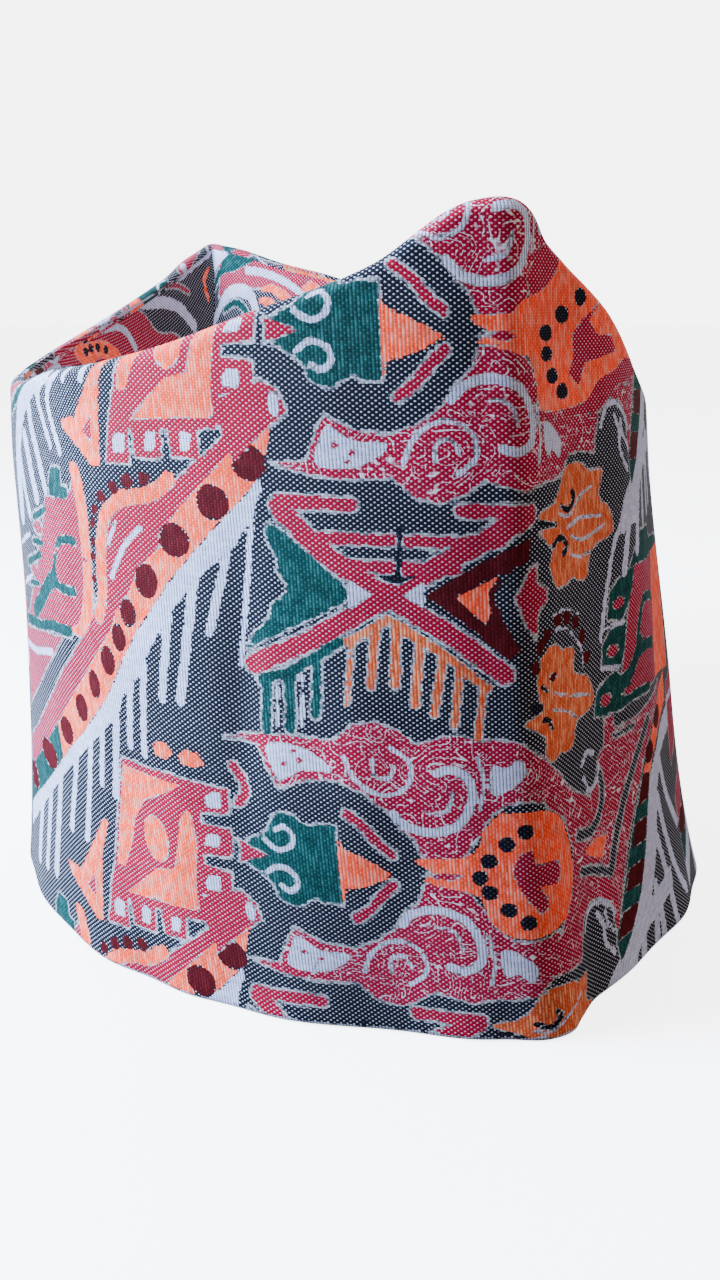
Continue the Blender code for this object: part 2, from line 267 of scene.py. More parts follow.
# Figures in the order they are laid in: yarn, form, copies, rows. Two copies are mirror images.
# A dot's row is (along, up, reach along, reach up). A line's or curve's is (width, points...), and a
# patch's or blob's is its outline's points, each (along, up) in millimetres. "ground" takes yarn away.
FIGURES = (
    # far left: the striped field and the fork
    ("crimson", "patch", 1, (((-95, 84), (-88, 85.2), (-83, 86.2), (-79.5, 91), (-77.5, 86), (-76.6, 76),
          (-77, 66), (-79, 61.5), (-90, 60.4), (-107, 58.2), (-118, 57), (-112, 62), (-107, 66), (-103, 71),
          (-99, 76), (-97, 80)),)),
    ("coral", "blob", 1, (((-82.5, 91), (-79.2, 91.2), (-77, 85), (-76.6, 75), (-77.5, 66), (-79.5, 61.5),
          (-88, 60.8), (-83.5, 63.5), (-80.5, 70), (-80, 78), (-81, 86)),)),
    ("teal", "patch", 1, (((-93, 84.2), (-84, 85), (-84.2, 87), (-86.6, 87), (-86.8, 90), (-91, 90),
          (-93, 87)),)),
    ("teal", "curve", 1, (
        (3.2, (-110, 59.5), (-103, 63.5), (-98, 67), (-93, 69.5)),
        (1.5, (-93.5, 69.5), (-92, 73), (-90, 76.3), (-86, 77.6), (-82.8, 77.6)),
        (1.8, (-94, 69), (-90, 68.2), (-84.8, 68.4)),
        (2.0, (-120, 56), (-107, 57.5), (-98, 59.5), (-88, 60.6)),
    )),
    ("teal", "line", 1, (
        (1.3, (-96, 81.5), (-104, 78.8)),
        (1.1, (-99, 74.7), (-106, 74)),
        (1.3, (-101, 72.3), (-112, 68.8)),
        (1.1, (-104, 66), (-116, 64.4)),
    )),
    ("crimson", "dot", 1, (
        (-101.5, 77.3, 2.6, 1.2),
        (-107, 68, 2.8, 1.1),
    )),
    ("pale", "line", 1, (
        (0.9, (-120, 71), (-108, 75)),
        (0.9, (-120, 63), (-110, 66.5)),
    )),
    ("crimson", "patch", 1, (((-126, 36), (-112, 44), (-104, 50), (-98, 54), (-92, 58.5), (-104, 57),
          (-114, 55), (-126, 53)),)),
    ("pale", "line", 1, ((1.3, (-126, 49.5), (-112, 51), (-99, 54.2)),)),
    ("crimson", "line", 1, ((0.8, (-98, 74.5), (-78, 75.2)),)),
    # the slanting band, its dots and its comb
    ("crimson", "patch", 1, (DOTS_HIGH + CRIMSON_HIGH[::-1],)),
    ("coral", "patch", 1, (PALE_HIGH + DOTS_HIGH[::-1],)),
    ("teal", "patch", 1, (((-99, 40.5), (-97, 34.5), (-100, 31.5), (-110, 24.5), (-126, 15), (-126, 22),
          (-110, 32)),)),
    ("pale", "patch", 1, (PALE_LOW + PALE_HIGH[::-1],)),
    ("pale", "line", 1, (
        (1.0, (-41.3, 88.5), (-46, 62)),
        (1.5, (-46.3, 81.5), (-51, 67)),
        (1.7, (-53.3, 75), (-57.5, 54.5)),
        (1.7, (-58.8, 69), (-61.3, 54.5)),
        (1.6, (-65, 60), (-67, 43.5)),
        (1.6, (-68.6, 57), (-70.6, 44.3)),
        (1.8, (-73, 51.5), (-76.4, 33.5)),
        (1.6, (-78.2, 46), (-80.5, 34.5)),
        (1.8, (-83.3, 42), (-87.5, 22)),
        (1.8, (-89.8, 37), (-94.3, 21.5)),
        (2.4, (-99, 30), (-103.8, 9.5)),
        (2.2, (-105.5, 25), (-109.5, 8.5)),
        (2.6, (-112.5, 20), (-116, 7.5)),
    )),
    # the curl and its beads
    ("crimson", "blob", 1, (((-57, 90.5), (-64, 88), (-70, 86), (-73.5, 82), (-74.5, 76), (-74.5, 69),
          (-70, 68), (-64, 76), (-58, 82)),)),
    ("coral", "curve", 1, ((2.6, (-56.5, 91), (-61, 88.3), (-66, 87.3), (-70.3, 85.2), (-72.8, 81),
          (-73.6, 75), (-74, 70), (-75.5, 66)),)),
    ("pale", "curve", 1, (
        (0.9, (-63.5, 82.5), (-67.5, 79), (-71, 73.5)),
        (0.6, (-69, 83), (-71.3, 79)),
    )),
    ("maroon", "dot", 1, (
        (-61.8, 90.6, 1.3, 1.2),
        (-65.6, 89.9, 1.3, 1.2),
        (-69, 88.8, 1.2, 1.1),
        (-72.2, 86.9, 1.1, 1.0),
        (-74.3, 84.6, 1.0, 0.9),
        (-75.2, 82, 0.9, 0.8),
        (-75.6, 79, 0.8, 0.8),
        (-75.8, 76.3, 0.8, 0.8),
        (-76, 72.4, 0.8, 0.7),
    )),
    # dots of the slanting band
    ("maroon", "dot", 1, (
        (-41.4, 94.5, 2.9, 2.7),
        (-48.5, 88, 2.9, 2.7),
        (-56.5, 81.3, 3.0, 2.7),
        (-63, 74, 2.4, 2.8),
        (-67.8, 68, 1.8, 2.4),
        (-70.6, 63.2, 1.6, 2.3),
        (-74.2, 58.5, 1.9, 2.5),
        (-79.6, 53, 2.1, 2.4),
        (-86, 47, 2.4, 2.4),
        (-94, 40.5, 3.2, 2.5),
        (-106, 32.2, 5.5, 2.6),
        (-121, 22.8, 5.5, 2.4),
    )),
    # the notched square
    ("crimson", "patch", 1, (((-73.5, 41.2), (-62, 41.2), (-50.3, 40.6), (-50.3, 36.4), (-56, 35.6),
          (-56, 33.6), (-50.3, 33.4), (-50.6, 28.6), (-56.4, 28), (-56.4, 26), (-51.2, 25.6), (-51.8, 20.8),
          (-57.5, 20.4), (-58, 15.5), (-62, 15), (-62.4, 10.6), (-67.4, 10.6), (-67.8, 14.8), (-69.4, 14.8),
          (-69.6, 10), (-75, 10), (-75.4, 14.6), (-76.4, 14.4), (-76.6, 8.8), (-82, 8.5), (-80.4, 16),
          (-78.5, 21), (-76.4, 30)),)),
    ("coral", "patch", 1, (
        ((-73.2, 40), (-59.5, 39.6), (-64, 37), (-68.5, 34.8), (-71.5, 31), (-73.4, 25.5), (-76, 20.5),
          (-78, 20.5), (-76, 29)),
        ((-58, 35.6), (-57.2, 30), (-58.8, 22), (-58.8, 17), (-67, 16.5), (-75.6, 15.8), (-71.5, 19.2),
          (-67.5, 22.4), (-63, 23.6), (-61.4, 28.5), (-60, 34)),
    )),
    ("coral", "dot", 1, ((-66.6, 28.3, 2.9, 4.2),)),
    ("pale", "patch", 1, (
        ((-54.4, 36.8), (-51.8, 37), (-51.6, 39.6), (-53, 39.8), (-54.6, 38.6)),
        ((-55.8, 29.8), (-53, 29.8), (-52.6, 32), (-55, 31.8)),
        ((-56.4, 21.6), (-53.8, 21.8), (-53.6, 24.4), (-55.6, 24.2), (-56.6, 23)),
        ((-80, 10.4), (-77.6, 10.4), (-77.2, 13.2), (-79, 13.6), (-80, 12.4)),
        ((-73, 11), (-71, 11.2), (-70.4, 14), (-72.4, 14.2)),
        ((-65.6, 11.6), (-64, 11.8), (-63.2, 14.2), (-65.4, 14.4)),
    )),
    ("coral", "dot", 1, (
        (-62.5, 45.3, 2.0, 1.5),
        (-56.5, 44.8, 2.3, 1.5),
    )),
    ("crimson", "curve", 1, ((1.5, (-48.8, 44.8), (-47.3, 42.5), (-47, 40.5), (-48.4, 38.6)),)),
    ("crimson", "patch", 1, (((-59, 19.5), (-50, 22.8), (-47.2, 21), (-46.4, 18), (-48.5, 16.8),
          (-56, 10)),)),
    ("pale", "dot", 1, ((-48.4, 19.3, 0.8, 1.7),)),
    # the arrow
    ("coral", "patch", 1, (((-81, 28), (-79.6, 27.4), (-80.6, 25.5), (-82.6, 20.5), (-83.4, 14),
          (-83.8, 7.8), (-86, 7.6), (-89.5, 9.8), (-96.5, 13.2), (-97, 14.6), (-91, 15.2), (-88, 18.6)),)),
    ("crimson", "patch", 1, (((-88.6, 13), (-85.6, 11.4), (-85.4, 16.2)),)),
    # the crossed arms
    ("teal", "patch", 1, (((-39.4, 85.6), (-37, 84.6), (-31, 79.6), (-26, 75), (-31, 72), (-44.8, 65),
          (-43, 67.6), (-40, 70.4), (-39.2, 73), (-37, 74.2), (-36.6, 76), (-38, 78), (-38, 80.4),
          (-39.4, 83)),)),
    ("maroon", "patch", 1, (((-15.4, 75.4), (-8, 79.8), (1.6, 84.6), (0.6, 81), (-3.6, 78.6), (-5, 75.2),
          (-3.4, 71), (-0.8, 66.4), (-3, 65.4), (-9, 70.8)),)),
    ("coral", "patch", 1, (((-11, 75.3), (-3.6, 79), (-5.8, 76), (-5.4, 73), (-6.2, 70.6), (-8.2, 72.6)),)),
    ("crimson", "line", 1, (
        (2.0, (-37, 89), (-25.5, 89)),
        (2.0, (-9.5, 88.4), (1.4, 88.2)),
        (1.7, (-34, 83.7), (-19.3, 83.7)),
        (1.7, (-17.6, 83.7), (-4, 83.7)),
        (1.7, (-29, 79.6), (-10.5, 79.6)),
        (3.1, (-37, 88), (-30.5, 81.4), (-21, 75), (-11, 68.8), (-3.6, 63)),
        (3.1, (-43.6, 62.6), (-33, 67.6), (-21, 75), (-10, 81.8), (0.6, 87.6)),
    )),
    ("navy", "patch", 1, (((-22.6, 78.2), (-16.6, 78.2), (-19.4, 76.8)),)),
    ("navy", "line", 1, ((0.8, (-18.4, 85.6), (-19.2, 78)),)),
    ("pale", "patch", 1, (
        ((-27, 77.6), (-23.4, 75.2), (-27, 72.6)),
        ((-18.6, 75.2), (-15.4, 77.4), (-15.2, 73.4)),
    )),
    ("crimson", "patch", 1, (((-1.6, 75), (1, 79.6), (2.4, 80), (2, 77), (4.8, 75.6), (4.6, 74),
          (2.4, 72.6), (2, 68.4), (0.4, 70.4)),)),
    # the two combs under the arms
    ("teal", "line", 1, (
        (1.5, (-42.4, 60.2), (-37, 62.2), (-29, 67.4)),
        (1.6, (-41.3, 60), (-42, 51.8)),
        (1.6, (-37.2, 61.6), (-37.8, 52.6)),
        (1.4, (-32.6, 64), (-33.4, 55.4)),
    )),
    ("petal", "line", 1, (
        (1.3, (-27.4, 67.6), (-21, 71.4), (-13.4, 66.6), (-6.4, 60.8)),
        (0.8, (-27, 67), (-28.2, 57.8)),
        (1.3, (-23, 69.8), (-24.4, 60.6)),
        (1.4, (-19.8, 70.6), (-20.6, 60.8)),
        (1.3, (-16.4, 68.4), (-17.6, 58)),
        (1.2, (-13, 66), (-14.8, 56.6)),
        (1.1, (-10.6, 64), (-11.8, 54.6)),
        (1.0, (-7, 61), (-8.2, 52.8)),
    )),
    ("pale", "line", 1, (
        (0.7, (-35.2, 61.6), (-35.8, 53)),
        (0.6, (-39.4, 59.6), (-40, 53)),
    )),
    # the pair of clouds
    ("cloud", "patch", 2, (((-49.8, 10.6), (-44, 10.8), (-41.4, 16.6), (-40.6, 17.8), (-36, 15.6),
          (-30.5, 15.2), (-26.5, 17), (-23, 19.8), (-21.4, 22.6), (-19, 24.6), (-18, 27.4), (-15.6, 29.4),
          (-12, 28), (-9, 24), (-7, 20.6), (-4.6, 18.4), (0, 18), (4, 19), (6, 14), (2, 11.4), (-1, 8.6),
          (-4.6, 8), (-8, 8), (-11.6, 7), (-15, 8), (-18, 8.8), (-20.4, 7), (-23.8, 5.4), (-27.6, 6),
          (-31, 9), (-37.8, 8.6), (-44, 9.2)),)),
    ("pale", "blob", 2, (((-42.4, 10.8), (-41.2, 15), (-40.2, 16.4), (-36.4, 14.2), (-31.6, 14),
          (-33.4, 11.8), (-37.4, 10.2)),)),
    ("crimson", "dot", 2, (
        (-39.4, 13.6, 0.7, 0.6),
        (-36.8, 12.6, 0.7, 0.6),
        (-37.6, 11.2, 0.6, 0.4),
    )),
    ("pale", "curve", 2, (
        (1.3, (-22.2, 20.4), (-20.4, 22.4), (-16, 23.4), (-11.8, 21.8), (-9.6, 17.8), (-10, 14.2),
          (-12.6, 12.8), (-15, 13.4)),
        (0.6, (-29.4, 11), (-27.6, 15), (-23.4, 17.4), (-19.6, 15.8), (-19, 12), (-22, 9.4)),
        (0.5, (-24.8, 11.4), (-24.6, 14), (-22.4, 14.6), (-21.4, 12.6)),
        (0.5, (-16.8, 20.4), (-13.6, 19.6), (-12.6, 16.6)),
    )),
    ("pale", "blob", 2, (((-6.4, 16.6), (-3.4, 16), (-0.6, 13.4), (-1.6, 11), (-4, 12.6), (-6, 12)),)),
    ("pale", "curve", 2, ((0.5, (-8.4, 19.4), (-7.6, 15), (-8.4, 10.6)),)),
    # the curled figure, its point and the arch over it
    ("teal", "patch", 2, (((-43.6, 30.1), (-48, 31.8), (-45, 33.4), (-43.2, 35), (-42.4, 37.2),
          (-40.4, 38.2), (-38.4, 37.9), (-37.4, 36.8), (-35.8, 36.4), (-34.6, 37), (-31.6, 37),
          (-31.6, 30.1)),)),
    ("teal", "patch", 1, (((-44, 31.2), (-31.6, 31.6), (-31.6, 28.6), (-44, 29)),)),
    ("pale", "curve", 2, ((0.8, (-44.2, 33), (-42, 31.6), (-39.6, 32.4), (-39, 34.4), (-40.4, 35.8),
          (-42, 35)),)),
    ("crimson", "patch", 1, (((-49.2, 32), (-43.2, 30.1), (-49.2, 28.2), (-48.6, 30.1)),)),
    ("coral", "patch", 1, (((-31.7, 35.6), (-30.6, 33.2), (-28.4, 32.4), (-22.6, 29.2), (-28, 26.6),
          (-30.8, 26), (-31.7, 22.6)),)),
    ("crimson", "curve", 2, ((1.5, (-29.6, 39.3), (-27, 37.4), (-25, 34.8), (-22.8, 32.8)),)),
    # the ring with its dark dots and flower
    ("coral", "blob", 1, (((-19.4, 32), (-12, 32.6), (-9.4, 34), (-8, 37.4), (-5, 40.2), (-1, 40.2),
          (4, 39.6), (7.4, 36.4), (9.4, 31), (9.2, 26), (7.4, 21.8), (3.4, 19.6), (-1, 18.8), (-5, 19.2),
          (-7.8, 22), (-9.2, 25.6), (-12, 27), (-18, 28.4), (-16.4, 30)),)),
    ("crimson", "dot", 1, ((-14.4, 29.4, 2.4, 0.7),)),
    ("navy", "dot", 1, (
        (-1.2, 37.1, 1.3, 1.2),
        (-4.4, 35.1, 1.3, 1.2),
        (-7.4, 32.2, 1.3, 1.2),
        (-9, 29.4, 1.2, 1.2),
        (-7.6, 26.8, 1.3, 1.2),
        (-4.7, 23.8, 1.3, 1.2),
        (-1.6, 21.6, 1.3, 1.2),
    )),
    ("crimson", "blob", 1, (((-3.6, 30.6), (-2.2, 33.4), (0, 33.8), (0.4, 31.4), (4.4, 31.2), (5.6, 29),
          (4, 27), (1, 27.4), (2.4, 24.6), (1, 22.8), (-0.8, 24.6), (-2.6, 27.2)),)),
    # right wall: the field past the ring, its hooks and scrolls
    ("cloud", "patch", 1, (((1, 50), (4, 47.8), (7.5, 44.5), (10, 41.5), (13.5, 39.3), (17.5, 37.3),
          (20, 39.5), (21.5, 43.5), (24, 44.3), (24.2, 49), (27, 49.2), (27.5, 46.5), (36, 46.3), (42, 47),
          (54, 48), (46, 43.5), (40, 37.5), (35, 31), (30, 23), (27, 16), (24.4, 8.6), (23, 16),
          (19.5, 18.5), (16, 18.9), (12.5, 17), (11.3, 14), (10.5, 10.8), (7, 11.3), (2, 11.5), (5, 19),
          (9, 24), (10.4, 31), (8, 37), (3, 41)),)),
    ("ground", "curve", 1, (
        (2.4, (12.5, 32.3), (17, 31.3), (20.5, 33), (22.3, 37), (21.5, 40.5)),
        (2.2, (13, 25.8), (18, 24), (23.5, 21.5)),
        (2.8, (23.6, 21.6), (27, 28), (31, 33.6), (36, 39), (42, 44)),
    )),
    ("ground", "line", 1, ((1.6, (27.5, 45.2), (35, 45.2)),)),
    ("coral", "patch", 1, (((14.5, 28.5), (18, 29.5), (23, 28.8), (21, 25), (18, 26.3)),)),
    ("pale", "curve", 1, (
        (0.9, (13, 14.5), (15, 17.3), (18.5, 18), (22, 16), (24, 13.5)),
        (1.0, (18, 16), (19.8, 13), (20, 10), (23, 6.5)),
        (0.8, (20.5, 15.5), (21.5, 12.5), (24, 10)),
        (0.9, (15, 43.6), (17, 45.4), (19.5, 44.5)),
        (0.8, (15.5, 41.5), (17.5, 38.5), (20.5, 39.5), (21.5, 42)),
    )),
    # right wall: its slanting band and comb
    ("teal", "patch", 1, (((24, 8.5), (27, 14), (30, 20), (34, 27), (38.5, 34), (43, 35), (42, 31),
          (40.5, 26), (38.5, 20), (35, 13), (30, 7.5), (25, 3.5)),)),
    ("maroon", "patch", 1, (
        ((24.6, 8), (26.6, 12.4), (33.6, 11.8), (30.4, 7.8)),
        ((28.6, 15.6), (30.6, 19.4), (37.8, 18.6), (35.8, 14.6)),
        ((32.6, 22.4), (34.4, 26.4), (40.2, 26), (39, 21.8)),
        ((35.8, 29), (39, 34.6), (43, 34.4), (41.4, 29.2)),
    )),
    ("coral", "patch", 1, (((39, 34.4), (42, 38), (46, 42), (52, 45.6), (60, 48), (60, 42), (50, 39),
          (45, 36), (43, 33.4)),)),
    ("maroon", "dot", 1, (
        (42.9, 37.5, 2.5, 2.1),
        (50, 42, 3.2, 2.0),
    )),
    ("pale", "patch", 1, (((22, -3), (24, 2), (25, 3.5), (30, 7.5), (35, 13), (38.5, 20), (40.5, 26),
          (43, 33), (47, 36), (52, 38.5), (62, 41), (62, 36), (51, 34), (46.6, 28.5), (44.5, 20), (41, 13),
          (36.4, 7), (31, 1.6), (29, -3)),)),
    ("pale", "curve", 1, (
        (2.0, (41.4, 12), (43, 6), (43.4, -2)),
        (2.0, (44.6, 19.5), (47.6, 11), (49.4, 1)),
        (2.2, (46.6, 27.5), (50, 17.5), (54, 9), (58, 4)),
        (2.4, (50, 33.6), (54, 25), (60, 17)),
    )),
    # right wall: the blooms and their beads
    ("petal", "blob", 1, (((3.4, 87.4), (8.4, 88.8), (11, 92), (13, 93.4), (16, 93.8), (19, 93), (20.6, 92),
          (24.6, 91.8), (23.6, 88), (24.4, 86.4), (26.6, 85.6), (28, 82), (26, 80.6), (20.2, 79.2),
          (18.6, 75.4), (16, 75), (13.4, 76), (11, 75.4), (8, 75.6), (5.8, 78.8), (6.6, 81.2), (4.4, 83.6),
          (3, 84.6), (8.4, 85.2), (4.2, 86.6)),)),
    ("navy", "curve", 1, (
        (0.9, (10.4, 87.8), (12, 87), (13.6, 87.2), (15, 88.6), (14.2, 89.6)),
        (0.9, (7, 82), (9, 83), (11, 82.4), (11.6, 81), (10.2, 80.4)),
        (0.7, (3.4, 86), (6, 85.6), (8.4, 85.2)),
    )),
    ("pale", "curve", 1, (
        (0.4, (9.4, 86.6), (13, 86), (17, 88.4), (21.6, 89.6)),
        (0.4, (12, 84), (17, 85), (24, 84.4)),
        (0.4, (13.4, 82.6), (18, 81.4), (25, 82.8)),
        (0.4, (12.6, 80), (16, 78.8), (19.6, 79)),
    )),
    ("petal", "blob", 1, (((2.6, 63.4), (3.6, 65.4), (6.4, 66.6), (9.8, 65), (13.2, 64.4), (13, 60.4),
          (17.8, 58.4), (20.4, 54.4), (18.6, 52.8), (13.6, 51.8), (12, 48), (7.8, 48.4), (6, 47.4),
          (4, 48.4), (3.6, 52), (-0.5, 54.8), (3, 56.4), (2.2, 60.4)),)),
    ("navy", "dot", 1, ((1.8, 57, 1.5, 0.9),)),
    ("maroon", "dot", 1, ((6.2, 61.4, 1.1, 0.7),)),
    ("navy", "curve", 1, (
        (0.7, (3.2, 60.4), (4.4, 59.4)),
        (0.8, (3.4, 54.8), (4.6, 54.6), (5.6, 53)),
    )),
    ("pale", "curve", 1, (
        (0.4, (6.6, 58.6), (10, 57.4), (19, 55)),
        (0.4, (6, 56), (10, 54.8), (14, 52.4)),
        (0.5, (6.6, 71.4), (11, 71.2), (15, 69.6)),
        (0.5, (7, 68.8), (10.4, 68.4), (13.4, 66.2), (16, 63.6), (16.8, 60)),
    )),
    ("maroon", "dot", 1, (
        (4.8, 68.6, 1.1, 1.1),
        (7.8, 70.2, 1.4, 1.1),
        (11, 70, 1.4, 1.1),
        (14, 68.7, 1.3, 1.1),
        (16.3, 65.6, 1.3, 1.1),
        (17.8, 61.8, 1.4, 1.1),
        (1.8, 63.6, 1.0, 1.2),
        (3, 67, 1.1, 1.2),
    )),
    # right wall: the fork, its field and the comb over it
    ("crimson", "patch", 1, (((30.4, 56), (31.4, 60), (32.4, 65), (33.8, 70), (36, 74.6), (64, 74),
          (64, 49.4), (44, 50), (36, 51)),)),
    ("coral", "patch", 1, (((50, 49.6), (64, 48), (64, 75), (54, 73.6), (51.6, 66), (50.6, 58)),)),
    ("teal", "patch", 1, (
        ((34, 74.2), (38, 77.6), (41, 79.2), (50, 78.6), (52, 76), (64, 74.4), (64, 73), (50, 73)),
        ((20.8, 50.4), (21, 53), (22, 55), (25.4, 56), (28.4, 57), (30, 55.6), (33, 56.4), (38, 61.4),
          (40, 60), (36, 55.6), (33.6, 53.6), (36, 50.6), (30, 49.4)),
    )),
    ("teal", "curve", 1, (
        (1.7, (37, 61), (38.5, 64.5), (41, 66.8), (45, 66.7), (49.4, 65.4)),
        (2.2, (36, 58), (42, 58.4), (47.6, 57.2)),
        (1.7, (24, 50.6), (35, 50.8), (43.4, 50)),
    )),
    ("teal", "patch", 1, (
        ((23.6, 58.8), (24.2, 62.6), (27, 64.4), (29.8, 65), (32, 64.6), (31.4, 60.4), (30, 57.6),
          (27.6, 57.4), (25.4, 58)),
        ((25.8, 66.4), (26.4, 71), (29, 72.4), (32.4, 73.4), (36, 74), (34.6, 70), (32.4, 67.4),
          (30.6, 65.6), (28, 66)),
    )),
    ("crimson", "dot", 1, (
        (27.4, 60.6, 1.9, 1.1),
        (29.4, 68.6, 2.0, 1.1),
        (24.8, 52.4, 2.0, 1.2),
        (33.4, 52.2, 3.0, 0.8),
    )),
    ("pale", "line", 1, (
        (0.8, (23.4, 58.3), (29, 57.2)),
        (0.8, (24.4, 65), (31, 65)),
    )),
    ("pale", "patch", 1, (((29.4, 81), (33, 86.5), (38, 90), (45, 93), (62, 96.5), (62, 92.4), (50, 89.5),
          (43, 87), (36.6, 84), (32, 80)),)),
    ("pale", "curve", 1, (
        (1.2, (23.3, 63.3), (25.4, 71), (28, 78.4), (31, 82.4)),
        (2.0, (35.6, 84.5), (33.2, 78.5), (31.6, 73.8)),
        (2.2, (41, 87), (39.6, 80.6), (38.4, 76.4)),
        (2.2, (47, 89.5), (45.8, 84.6), (44.8, 80.4)),
        (2.2, (53, 91), (52.2, 86), (51.6, 81)),
    )),
)

# The hem's pale edge, over the repeated figures
BAND_FIGURES = (
    ("pale", "line", 1, ((0.9, (-330, 0.3), (330, 0.3)),)),
    # the far-left comb at the top edge, whose teeth lean back
    ("ground", "patch", 1, (((-84.5, 92), (-94, 91.5), (-96, 84.5), (-104, 80.5), (-128, 74), (-128, 112),
          (-84.5, 112)),)),
    ("pale", "curve", 1, (
        (4.6, (-114, 78), (-112.5, 90), (-108, 98), (-101, 103), (-92, 106.4)),
        (1.7, (-86.2, 92.8), (-89, 97), (-91, 101), (-89.6, 104), (-86, 106.6)),
        (1.8, (-91, 93.4), (-94, 97.4), (-96, 101), (-95, 104)),
        (2.4, (-95.2, 85.4), (-98.4, 91), (-101, 95.6), (-102, 100)),
        (2.8, (-100.6, 82.8), (-103.4, 88), (-106, 94)),
        (2.4, (-106.4, 79), (-109, 84), (-111, 90)),
    )),
    ("teal", "curve", 1, ((1.8, (-94, 107.6), (-102, 105.4), (-109, 101.4), (-118, 97.6)),)),
    ("crimson", "curve", 1, ((3.0, (-104, 107.4), (-112, 103.6), (-122, 100)),)),
    # the coral square on the right slope of the near peak, drawn out along the top edge
    ("crimson", "patch", 1, (((13, 101), (24, 101), (32, 105), (42, 106), (46, 108), (16, 128), (6, 126),
          (2, 121.6)),)),
    ("coral", "blob", 1, (((4.8, 103), (4, 108), (1, 112), (-0.6, 114.4), (0.4, 118), (8, 120.2),
          (12, 122.6), (18, 127), (40, 110.6), (35, 109.2), (31, 107.6), (25, 106.2), (20.4, 103),
          (12, 102.4)),)),
    ("crimson", "patch", 1, (((26, 118.4), (20.4, 115.8), (17.2, 113.4), (17.4, 110), (15.6, 107.6),
          (18.8, 105.2), (21, 109), (26, 109.6), (31.4, 110.6), (29.6, 113), (24.6, 113.4),
          (22.4, 115.4)),)),
    ("navy", "dot", 1, (
        (19.7, 119, 1.6, 1.3),
        (13.8, 116.4, 2.2, 1.3),
        (8, 113.8, 2.2, 1.1),
        (8, 110.8, 2.0, 1.0),
        (9.6, 107.5, 1.9, 1.1),
        (13, 105, 1.9, 1.1),
    )),
)

# Figures by the far peak, over the repeated ones; points are (part's y, distance up from the valley)
CROWN_FIGURES = {
    "left": (
        ("ground", "patch", 1, (((22, 60), (100, 20), (100, -4), (66, -4), (60, 18), (44, 32), (22, 44)),)),
        ("pale", "curve", 1, ((2.4, (22, 54), (28, 52), (32, 50)),)),
        ("teal", "curve", 1, ((2.0, (24, 50), (32, 48.6), (38, 44.5)),)),
        ("crimson", "blob", 1, (((34, 52), (42, 48), (54, 40), (64, 34), (69, 28), (68, 21), (71, 14),
              (68, 8), (60, 18), (50, 30), (40, 40), (34, 46)),)),
        ("coral", "blob", 1, (((42, 45), (47, 43), (51, 40), (54.6, 36), (55, 31), (51, 30), (46, 35),
              (42, 40)),)),
        ("navy", "dot", 1, (
            (46.2, 41.6, 1.1, 0.8),
            (48.6, 40.2, 1.1, 0.8),
            (50.8, 38.2, 1.1, 0.8),
            (52.4, 35.6, 1.1, 0.8),
        )),
        ("crimson", "blob", 1, (((45, 38.6), (48, 37.6), (50, 34.6), (48.4, 33.6), (45.4, 36)),)),
        ("pale", "curve", 1, (
            (1.7, (56, 38.4), (60, 34.6), (61.6, 31), (60, 27)),
            (1.3, (63, 35), (68, 31), (74, 26)),
            (2.6, (71, 28), (75, 22), (77, 15), (76, 8)),
        )),
        ("crimson", "curve", 1, ((0.9, (77, 25), (81, 18), (82, 12)),)),
        ("pale", "curve", 1, ((3.0, (84, 17), (89, 11), (94, 6)),)),
        ("crimson", "curve", 1, ((1.4, (70, 9), (73, 6), (75, 1)),)),
        ("coral", "curve", 1, ((1.2, (84, 3), (87, 5), (90, 4)),)),
    ),
    "right": (
        ("ground", "patch", 1, (((62, 60), (100, 20), (100, -4), (66, -4), (62, 20)),)),
        ("crimson", "patch", 1, (((64, 52), (72, 46), (78, 37), (86, 24), (92, 14), (92, 8), (84, 3),
              (83, 12), (79, 22), (72, 33), (64, 40)),)),
        ("coral", "patch", 1, (
            ((66, 48), (73, 42), (72.6, 37), (66, 42)),
            ((69, 36), (74.6, 32), (78, 27), (78.6, 22), (74, 21), (70, 28)),
        )),
        ("ground", "curve", 1, (
            (1.1, (72, 30), (76, 26), (78, 20)),
            (1.3, (72, 25), (75, 22), (78, 17), (80, 14)),
        )),
        ("pale", "curve", 1, (
            (1.5, (70, 39), (76, 33), (81, 25), (84, 18)),
            (1.4, (76, 41), (82, 32), (86, 25)),
            (2.6, (74, 20), (79, 18), (82, 12), (82.6, 6), (80, 0)),
        )),
        ("teal", "curve", 1, ((1.3, (76, 16), (79.6, 12), (80.4, 6)),)),
        ("teal", "patch", 1, (((84.6, 22), (88, 19), (92, 13), (92, 8), (88, 8), (86, 12)),)),
        ("teal", "curve", 1, ((1.6, (88, 9), (88.4, 5), (87, 0)),)),
        ("pale", "patch", 1, (((90, 13), (96, 9), (97, 3), (93, 0), (89.6, 2), (90, 7)),)),
    ),
}


def smooth_rows(where, knots, values):
    """Read a table between its rows, on a cubic that leaves each row along its neighbours' chord."""
    steps = np.diff(knots)
    chords = np.diff(values, axis=0) / steps[:, None]
    slopes = np.empty_like(values)
    slopes[0], slopes[-1] = chords[0], chords[-1]
    before, after = steps[:-1, None], steps[1:, None]
    slopes[1:-1] = (chords[:-1] * after + chords[1:] * before) / (before + after)
    row = np.clip(np.searchsorted(knots, where, side="right") - 1, 0, len(knots) - 2)
    step = steps[row][:, None]
    part = (where - knots[row])[:, None] / step
    kept = 2 * part**3 - 3 * part**2 + 1
    leaving = (part**3 - 2 * part**2 + part) * step
    arriving = (part**3 - part**2) * step
    held = kept * values[row] + leaving * slopes[row]
    return held + (1 - kept) * values[row + 1] + arriving * slopes[row + 1]


